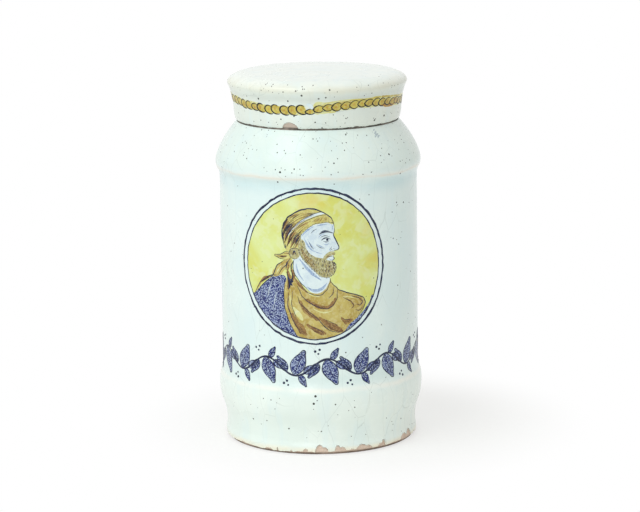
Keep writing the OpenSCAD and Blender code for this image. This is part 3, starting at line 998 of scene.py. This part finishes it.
CLOTH_LINES = [
    (0.35, [(-12, 8.9), (-15, 8.4), (-18, 6.9), (-21.6, 6.2), (-18.5, 4.4), (-15, 4)]),
    (0.35, [(-6.2, 7.7), (-7.2, 10), (-9.5, 11), (-11.8, 10), (-12.8, 7.7), (-11.8, 5.4), (-9.5, 4.4),
            (-7.2, 5.4)]),
    (0.7, [(-10.6, 6.7), (-9.5, 9), (-8.4, 6.7)]),
    (0.5, [(-15.4, 3.9), (-20, 0.3), (-23, -5.6), (-24.6, -7)]),
    (0.5, [(-13, 2), (-17, -1.4), (-19.6, -5.4)]), (0.6, [(-12, 4.6), (-14.2, 1.6), (-14.6, -2)]),
    (0.6, [(-9.6, 4.2), (-11.4, 1), (-11.6, -3)]), (1.3, [(-13.8, -5), (-12.4, -9), (-13.2, -13.4)]),
    (1.2, [(-10.8, -5.4), (-11.8, -9.6), (-11, -11)]), (0.9, [(-12.6, -7), (-10.6, -8.4), (-12.4, -10)]),
    (0.4, [(10.9, -9.6), (10.6, -6.4)]),
    (0.4, [(-9.8, 3.6), (-10.5, -0.4), (-9.6, -4), (-5.8, -9.4), (-1, -14)]),
    (0.45, [(-35.6, -17.4), (-31.4, -10.3), (-27, -6.9), (-23.2, -5.6), (-20, -5.4)]),
    (0.4, [(-34.2, -17.6), (-30, -12), (-25, -7.6)]),
    (0.5, [(-15.4, -7), (-16.1, -16), (-15.7, -24), (-13.2, -32), (-8.6, -40.2)]),
    (0.45, [(-13.6, -15), (-13.8, -23), (-11, -31), (-6.4, -39)]),
    (0.4, [(-11, -14), (-11.5, -22), (-8.5, -31)]),
    (0.5, [(10.6, -8.2), (12.5, -10.4), (15.5, -13.4), (20, -15.2), (26, -17), (30.4, -19), (31.5, -21.8),
           (30.3, -25.2), (26.8, -29.8)]),
    (0.5, [(-8, -11), (-5.4, -16.8), (-2.9, -19.4), (1.1, -22), (5.1, -23.8), (9.2, -24.2), (12.3, -22.2),
           (14.4, -18.6), (14.8, -13)]),
    (0.4, [(-5.5, -11), (-2, -14.8), (2, -16.4), (6, -16), (9, -13), (10.4, -9)]),
    (0.35, [(12.8, -11.6), (12.2, -15.6), (9.6, -18.4)]),
    (0.45, [(-8, -17), (-7, -20.5), (-3, -24.5), (0, -27.1), (3, -29.7), (5, -31.8), (7, -34.4), (10, -36.8),
            (14.1, -38), (17.8, -37.5)]),
    (0.3, [(4, -29), (8.6, -31), (13.6, -33.4), (16.4, -36.4)]),
    (0.35, [(18, -18), (20.4, -19.4), (22.7, -20.7), (24.3, -23.4), (22.7, -24.8)]),
    (0.35, [(22.5, -17.4), (27.6, -19.1), (29.8, -21.4), (28.1, -23.3), (25.9, -22.5)]),
    (0.3, [(25.3, -25.6), (27.5, -26.3), (30.4, -24)]), (0.3, [(17, -29.6), (19, -31), (23, -31.2)]),
    (0.3, [(-8.6, -33), (-6, -36), (-5.4, -39)]), (0.3, [(-3, -33), (1, -35), (5, -37), (7.4, -38.6)])]

# The medallion is painted from its ground up: each coat stands a little more proud than what it covers
paint("medallion_ground", "jar", LEMON, proud=0.03, fills=[oval((INNER_RING[0] - 0.2, INNER_RING[1] - 0.3))])
paint("medallion_blue_wash", "jar", COBALT_WASH, proud=0.04, fills=[on_bust(BLUE_EDGE)])
paint("bust_cloak", "jar", COBALT_WASH, proud=0.05, fills=[on_bust(CLOAK)])
paint("bust_tunic", "jar", OCHRE, proud=0.06, fills=[on_bust(TUNIC), on_bust(SCARF)],
      strokes=drawn(on_bust, TUNIC_EDGE))
paint("bust_neck", "jar", SKIN, proud=0.065, fills=[on_bust(NECK)])
paint("bust_face", "jar", SKIN, proud=0.07, fills=[on_head(FACE)])
paint("bust_hair", "jar", OCHRE_HAIR, proud=0.08, fills=[on_head(HAIR), on_bust(KNOT_TAIL)])
paint("bust_beard", "jar", BEARD, proud=0.09, fills=[on_head(BEARD_AREA), on_head(MOUSTACHE), on_bust(KNOT)])
paint("bust_skin_shades", "jar", SKIN_SHADE, proud=0.10,
      strokes=drawn(on_head, FACE_SHADES, 0.2) + drawn(on_bust, NECK_SHADES, 0.2))
paint("bust_lights", "jar", SKIN, proud=0.105,
      strokes=drawn(on_head, [(1.9, HEADBAND)], 0.5) + drawn(on_bust, CLOAK_LIGHTS, 0.5))
paint("bust_cloth_lights", "jar", PALE_LEMON, proud=0.105, fills=[on_bust(CLOTH_LIGHT)],
      strokes=drawn(on_bust, CLOTH_LIGHTS, 0.3))
fold_edges = [brush(finer(on_bust(shade)), 0.8, 0.4, shake=0.4) for shade in FOLD_SHADES]
brown_strokes = fold_edges + drawn(on_head, HAIR_BROWNS, 0.3) + drawn(on_bust, CLOTH_BROWNS, 0.3)
brown_strokes += head_locks(BROWN_LOCKS)
paint("bust_brown", "jar", BROWN, proud=0.115, fills=[on_bust(shade) for shade in FOLD_SHADES],
      strokes=brown_strokes)
paint("bust_umber", "jar", UMBER, proud=0.125,
      strokes=drawn(on_head, HAIR_UMBERS, 0.3) + drawn(on_bust, CLOTH_UMBERS, 0.3))
dark_strokes = locks(on_head(BEARD_INNER), on_head(JAW), 4, 20, 0.34) + drawn(on_head, HEAD_LINES, shake=0.1)
dark_strokes += scallops(on_head(FRINGE), 2, 0.5, 0.32) + scallops(on_head(JAW), 3, 0.35, 0.3)
dark_strokes += head_locks(DARK_LOCKS) + drawn(on_head, FACE_LINES) + [dot(*on_head([PUPIL])[0], PUPIL_SIZE)]
dark_strokes += drawn(on_bust, CLOTH_LINES, shake=0.1)
paint("bust_lines", "jar", COBALT_LINE, proud=0.14, strokes=bolder(dark_strokes, 1.3))

# The rings round the medallion, and two places where the outer one was gone over again
OVERDRAWN_RING = (OUTER_RING[0] - 0.3, OUTER_RING[1] - 0.3)
paint("medallion_rings", "jar", COBALT_LINE, proud=0.14, strokes=[
    brush(oval(OUTER_RING, step=3, shake=0.2), 1.2, closed=True),
    brush(oval(INNER_RING, step=3, shake=0.16), 0.76, closed=True),
    brush(oval(OVERDRAWN_RING, 18, 66, shake=0.1), 0.7),
    brush(oval(OVERDRAWN_RING, -72, -30, shake=0.1), 0.7)])


# A leafy vine round the jar below the medallion
VINE_Z = 51.8
VINE_SWING = 4.9
VINE_WAVE = 37.0
VINE_END = 112.0
VINE_STEP = 3.0


def vine_z(arc):
    return VINE_Z + VINE_SWING * math.sin(2 * math.pi * arc / VINE_WAVE)


def leaf(base, heading, length, width, bend):
    """A pointed leaf: its outline and its midrib."""
    def spot(share, side):
        across = side * width / 2 * math.sin(math.pi * share ** 0.8) + bend * length * share * share
        reach = length * share
        return (base[0] + reach * math.cos(heading) - across * math.sin(heading),
                base[1] + reach * math.sin(heading) + across * math.cos(heading))
    places = (0.16, 0.38, 0.6, 0.82)
    outline = [spot(0, 0) + (CORNER,)] + [spot(t, 1) for t in places] + [spot(1, 0) + (CORNER,)]
    outline += [spot(t, -1) for t in reversed(places)]
    return outline, [spot(t, 0) for t in (0, 0.3, 0.6, 0.9)]


def vine():
    """Fills and dark strokes of the vine: a large leaf at each bend of the stem, small ones and berries."""
    fills = []
    half_steps = round(VINE_END / VINE_STEP)
    arcs = [i * VINE_STEP for i in range(-half_steps, half_steps + 1)]
    lines = [brush([(arc, vine_z(arc)) for arc in arcs], 1.15, 0.3)]
    quarter = VINE_WAVE / 4
    for i in range(-6, 6):
        low = quarter * (2 * i + 1)
        up = 1 if i % 2 else -1
        if abs(low) > VINE_END - 6:
            continue
        z = vine_z(low)
        leaves = [
            leaf((low - 1.0, z), up * math.radians(74), 16.0, 8.4, up * -0.12),
            leaf((low - 5.6, vine_z(low - 5.6)), up * math.radians(112), 10.4, 5.0, up * 0.2),
            leaf((low + 4.6, vine_z(low + 4.6)), up * math.radians(38), 10.0, 4.8, up * -0.22),
            leaf((low + 1.5, z), -up * math.radians(40), 7.4, 3.9, -up * 0.25)]
        for outline, midrib in leaves:
            fills.append(outline)
            lines.append(brush([p[:2] for p in outline] + [outline[0][:2]], 0.55, 0.8))
            lines.append(brush(midrib, 0.5))
        for dx, dz in ((-5.4, -3.2), (-7.2, -4.6), (-4.6, -5.6)):
            lines.append(dot(low + dx, z + up * dz, scatter.uniform(1.1, 1.6)))
    return fills, lines


vine_fills, vine_strokes = vine()
paint("frieze_leaves", "jar", COBALT_WASH, proud=0.06, fills=vine_fills)
paint("frieze_lines", "jar", COBALT_LINE, proud=0.14, strokes=vine_strokes)

# The chain of scales round the lid
SCALES = 61
SCALE_PITCH = 2 * math.pi * LID_SIDE_R / SCALES
CHAIN_Z = 199.5
CHAIN_SWING = 1.4
CHAIN_WAVES = 3
CHAIN_START = 8.5


def chain_z(arc):
    return CHAIN_Z + CHAIN_SWING * math.sin(CHAIN_WAVES * (arc - CHAIN_START) / LID_SIDE_R)


# A scale's open outline, from its upper end round its left side, and the brush's press along it
ROUND_SCALE = [(1.8, 0.75), (0.6, 1.0), (-1.2, 0.92), (-2.4, 0.45), (-2.5, -0.1), (-1.5, -0.66),
               (0.2, -0.98), (1.8, -1.06), (2.9, -0.96)]
POINTED_SCALE = [(2.8, 0.66), (1.2, 0.98), (-0.6, 0.88), (-2.0, 0.4), (-2.75, -0.12), (-1.7, -0.7),
                 (0.2, -1.0), (1.9, -0.76), (2.7, -0.3)]
SCALE_PRESS = (0.4, 0.6, 0.8, 1.0, 1.1, 1.0, 0.85, 0.65, 0.4)

# Between these places along the front the scales are bold, and up to this one they are round
BOLD_FROM = -34
BOLD_TO = 3
ROUND_TO = -3


def scales():
    """The chain's yellow ground, its warm spots, and its dark lines."""
    first = -SCALES // 2 + 1
    spots = []
    lines = []
    tops = []
    bottoms = []
    for i in range(SCALES):
        arc = (first + i) * SCALE_PITCH + scatter.uniform(-0.4, 0.4)
        z = chain_z(arc) + scatter.uniform(-0.35, 0.35)
        bold = BOLD_FROM < arc < BOLD_TO
        tall = scatter.uniform(2.3, 2.7) if bold else scatter.uniform(1.9, 2.4)
        if first + i == 0:
            # the scale under the flaked spot is a low one
            tall = 1.5
            z -= 1.0
        shape = ROUND_SCALE if arc < ROUND_TO else POINTED_SCALE
        tops += [(arc - 2.3, z + 0.75 * tall), (arc - 0.5, z + 0.95 * tall), (arc + 1.4, z + 0.88 * tall)]
        bottoms += [(arc - 2.3, z - 0.7 * tall), (arc - 0.3, z - 0.95 * tall), (arc + 1.6, z - 0.9 * tall)]
        width = scatter.uniform(0.85, 1.2) if bold else scatter.uniform(0.7, 0.95)
        lines.append(([(arc + x, z + y * tall) for x, y in shape],
                      [width * press * scatter.uniform(0.85, 1.15) for press in SCALE_PRESS], False))
        touch = [(arc - 0.6, z + scatter.uniform(-0.6, 0.2)), (arc + 0.4, z + scatter.uniform(-0.3, 0.6))]
        spots.append((touch, [scatter.uniform(1.2, 2.2), scatter.uniform(0.8, 1.8)], False))
    return tops + bottoms[::-1], spots, lines


def halo(start, end, over, under):
    """The thin wash that ran past the chain, above and below it."""
    arcs = [start + (end - start) * i / 24 for i in range(25)]
    loop = [(arc, chain_z(arc) + over + scatter.uniform(-0.4, 0.4)) for arc in arcs]
    return loop + [(arc, chain_z(arc) - under + scatter.uniform(-0.4, 0.4)) for arc in reversed(arcs)]


# A blot of the wash under the chain, two strokes beside it, and the spot where its paint flaked off
WASH_BLOT = [(4, 198.6), (5, 196.6), (10, 196.5), (15.7, 197.6), (16, 199)]
YELLOW_SMEAR = [(16, 202.4), (26, 203.2), (35, 203.2), (42, 203.6), (54, 202.8), (66, 201.8)]
OCHRE_SMEAR = [(44.6, 198.9), (49, 198.0), (56.5, 197.8), (62, 198.5)]
FLAKE = [(-1.6, 201.9), (0.2, 202.2), (1.5, 201.4), (2.2, 199.7), (1.2, 198.9), (0.4, 199.5), (-0.5, 200.4),
         (-1.4, 200.9)]

scale_ground, scale_spots, scale_lines = scales()
paint("lid_wash", "lid", PALE_LEMON, proud=0.03,
      fills=[halo(-152, -3, 2.5, 2.4), halo(3, 152, 3.3, 2.4), WASH_BLOT])
paint("lid_scales", "lid", OLIVE, proud=0.05, fills=[scale_ground], strokes=[brush(YELLOW_SMEAR, 1.5, 0.5)])
paint("lid_scale_spots", "lid", WARM_OCHRE, proud=0.07,
      strokes=scale_spots + [brush(OCHRE_SMEAR, 2.2), dot(58.5, 200.2, 3.2)])
paint("lid_scale_lines", "lid", OLIVE_LINE, proud=0.14, strokes=scale_lines)
paint("lid_flake", "lid", SKIN, proud=0.16, fills=[FLAKE])

# Grains of iron that burnt through the glaze: place and size of the larger ones on the front
JAR_SPECKS = [
    (2, 35.6, 1.5), (1, 31.2, 1.4), (-39, 18, 1.0), (-28.5, 18.5, 0.8), (-14.5, 15, 1.0), (61, 14.5, 0.9),
    (13, 30.5, 0.9), (24, 28, 0.8), (23, 10, 0.6), (52, 14.6, 0.6),
    (-16, 164.5, 1.3), (-8, 166.5, 0.9), (-3, 163, 0.6), (14, 169.5, 0.9), (9, 167.5, 0.6), (50, 171.5, 1.2),
    (45, 169, 0.5), (60, 173, 0.5), (70, 171.5, 0.5), (60, 167, 0.5), (-48, 178, 0.5), (-37, 175.5, 0.5),
    (21, 176, 0.7), (24, 184, 1.0), (58, 159.5, 0.9), (-18, 158.6, 1.0), (14, 157.6, 0.7),
    (35, 150, 0.7), (29, 148, 0.6), (56, 143, 0.9), (63, 142, 1.1), (52, 138, 0.7), (-61, 140, 0.8)]
LID_SPECKS = [
    (-31, 203.8, 1.2), (-4, 206.9, 1.2), (-12, 203.5, 1.0), (-7, 209.6, 0.9), (-14, 208.8, 0.8),
    (11, 210, 1.0), (9, 205.6, 1.0), (5, 205, 0.9), (36, 206.5, 0.7), (-54, 193, 0.9), (-37, 190, 0.7),
    (-31, 191.3, 0.7), (-17, 192.8, 0.9), (-9, 194.8, 0.9), (3, 191.4, 0.9), (48, 192.2, 1.3),
    (40, 190.4, 1.2), (9, 191, 0.7)]


# Fine grains all round: how many lie between which heights, and their sizes
JAR_DUST = [(170, 162, 186), (60, 60, 158), (45, 6, 34)]
LID_DUST = [(90, 188, 206), (75, 206, 213)]
DUST_SIZE = (0.32, 0.74)


def fine_specks(zones, arc_r):
    """Fine grains thrown anywhere round a piece, zone by zone of its height."""
    half = math.pi * arc_r
    return [(scatter.uniform(-half, half), scatter.uniform(low, high), scatter.uniform(*DUST_SIZE))
            for count, low, high in zones for _ in range(count)]


paint("jar_iron_specks", "jar", IRON, proud=0.03, grains=JAR_SPECKS + fine_specks(JAR_DUST, WALL_R))
paint("lid_iron_specks", "lid", IRON, proud=0.02, grains=LID_SPECKS + fine_specks(LID_DUST, LID_SIDE_R))

# A grey scuff on the shoulder's right: widths and points
SCUFF_MARKS = [
    (1.1, [(44.4, 181.2), (46, 182.2), (48.4, 182.8)]), (0.9, [(45, 183), (46.8, 183.6), (48, 184.4)]),
    (1.0, [(46.4, 180.6), (47.6, 181.6), (49.2, 181.8)]),
    (0.7, [(45.4, 184.6), (46.6, 184.9), (47.6, 185.4)])]
scuff_strokes = [brush(points, width) for width, points in SCUFF_MARKS]
paint("shoulder_scuff", "jar", SCUFF, proud=0.03, strokes=scuff_strokes)

# Chips that are shorter than this, and rise further over the glaze's edge, are sharp ones
SHARP_LENGTH = 12
SHARP_RISE = 1
RIM_POINTS = 9
RIM_LIFT = 0.12
RIM_WIDTH = 0.26


def chip_rims(chips, edge, ripple):
    """A fine dark line on the glaze over each sharp chip: a stain and a painted shadow under the broken
    edge.
    """
    lines = []
    for start, end, top in chips:
        if end - start < SHARP_LENGTH and top - edge > SHARP_RISE:
            arcs = [start + (end - start) * (i + 0.5) / RIM_POINTS for i in range(RIM_POINTS)]
            points = [(arc, broken_edge(arc, chips, edge, ripple) + RIM_LIFT) for arc in arcs]
            lines.append(brush(points, RIM_WIDTH, 0.7))
    return lines


# dark lines over the chips, partly stain and partly painted shadow of the glaze's broken edge
paint("foot_chip_rims", "jar", GRIME_AND_SHADOW, proud=0.02, strokes=chip_rims(FOOT_CHIPS, FOOT_HEM, FOOT_RIPPLE))
paint("lid_chip_rims", "lid", GRIME_AND_SHADOW, proud=0.02, strokes=chip_rims(LID_CHIPS, LID_HEM, LID_RIPPLE))


# Studio

# The camera stands off to the right of the painted front and looks down on it a little
CAMERA_AZIMUTH = math.radians(5.12)
CAMERA_DISTANCE = 1.5
CAMERA_HEIGHT = 0.4054
CAMERA_ASIDE = 0.0004
CAMERA_PITCH = math.radians(11.32)
CAMERA_ROLL = math.radians(-0.76)
CAMERA_LENS = 146.7
CAMERA_SENSOR = 36.0


def place_camera():
    data = bpy.data.cameras.new("camera")
    data.sensor_width = CAMERA_SENSOR
    data.lens = CAMERA_LENS
    camera = put_in_scene("camera", data)
    turn = Matrix.Rotation(CAMERA_AZIMUTH, 4, "Z")
    tilt = Matrix.Rotation(math.pi / 2 - CAMERA_PITCH, 4, "X") @ Matrix.Rotation(CAMERA_ROLL, 4, "Z")
    stand = Matrix.Translation((CAMERA_ASIDE, -CAMERA_DISTANCE, CAMERA_HEIGHT))
    camera.matrix_world = turn @ stand @ tilt
    bpy.context.scene.camera = camera


def white_to_eye(tree):
    """1 for rays from the camera, in reflections and through glass, 0 for light that falls on the jar."""
    path = add(tree, "LightPath").outputs
    seen = math_node(tree, "MAXIMUM", path["Is Camera Ray"], path["Is Glossy Ray"])
    return math_node(tree, "MAXIMUM", seen, path["Is Transmission Ray"])


# The white paper that the jar stands on: its half length, how far it lies under the base, and its colour
PAPER_HALF = 6.0
PAPER_DROP = 0.0002
PAPER_COLOUR = (0.93, 0.93, 0.90, 1.0)
WHITE = (1.0, 1.0, 1.0, 1.0)

# The jar's shade on it falls behind and to the right, and fades between two distances from its middle
SHADE_MIDDLE = (0.02, 0.02, 0.0)
SHADE_NEAR = 0.06
SHADE_FAR = 0.145
GLOW_IN_SHADE = 0.6


def lay_floor():
    bm = bmesh.new()
    bmesh.ops.create_grid(bm, x_segments=8, y_segments=8, size=PAPER_HALF)
    mesh = bpy.data.meshes.new("floor")
    bm.to_mesh(mesh)
    bm.free()
    floor = put_in_scene("floor", mesh)
    floor.location = (0, 0, -PAPER_DROP)
    material = bpy.data.materials.new("white_paper")
    tree = empty_tree(material)
    place = add(tree, "TexCoord").outputs["Object"]
    beside = add(tree, "VectorMath", {0: place, 1: SHADE_MIDDLE}, operation="SUBTRACT").outputs["Vector"]
    away = add(tree, "VectorMath", {0: beside}, operation="LENGTH").outputs["Value"]
    fade = smooth_step(tree, away, SHADE_NEAR, SHADE_FAR, GLOW_IN_SHADE, 1.0)
    paper = add(tree, "BsdfDiffuse", {"Color": PAPER_COLOUR})
    glow = add(tree, "Emission", {"Color": WHITE, "Strength": 1.0})
    both = add(tree, "MixShader", {0: math_node(tree, "MULTIPLY", white_to_eye(tree), fade),
                                   1: paper.outputs[0], 2: glow.outputs[0]})
    add(tree, "OutputMaterial", {"Surface": both.outputs[0]})
    mesh.materials.append(material)


# Light on the jar: the room's level and tint, and soft boxes with place, size, power and colour
ROOM_LEVEL = 0.66
ROOM_TINT = (1.0, 0.985, 0.96, 1.0)
LAMP_AIM = Vector((0, 0, 0.1))
SOFT_BOXES = [
    ("top_box", (-0.58, -0.62, 1.2), (0.8, 0.85), 5.9, (0.94, 0.99, 1.0)),
    ("side_box", (-0.4, -1.4, 0.55), (0.7, 1.0), 4.2, (0.89, 0.98, 1.0))]


def soft_box(name, place, size, power, colour):
    data = bpy.data.lights.new(name, "AREA")
    data.color = colour
    data.shape = "RECTANGLE"
    data.size, data.size_y = size
    data.energy = power
    lamp = put_in_scene(name, data)
    look = (LAMP_AIM - Vector(place)).to_track_quat("-Z", "Y")
    lamp.matrix_world = Matrix.Translation(place) @ look.to_matrix().to_4x4()


def light_room():
    world = bpy.data.worlds.new("studio")
    bpy.context.scene.world = world
    tree = empty_tree(world)
    seen = white_to_eye(tree)
    strength = smooth_step(tree, seen, 0.0, 1.0, ROOM_LEVEL, 1.0)
    tint = blend_colours(tree, seen, ROOM_TINT, WHITE)
    sky = add(tree, "Background", {"Color": tint, "Strength": strength})
    add(tree, "OutputWorld", {"Surface": sky.outputs[0]})
    for box in SOFT_BOXES:
        soft_box(*box)


place_camera()
lay_floor()
light_room()
bpy.context.scene.view_settings.view_transform = "Standard"
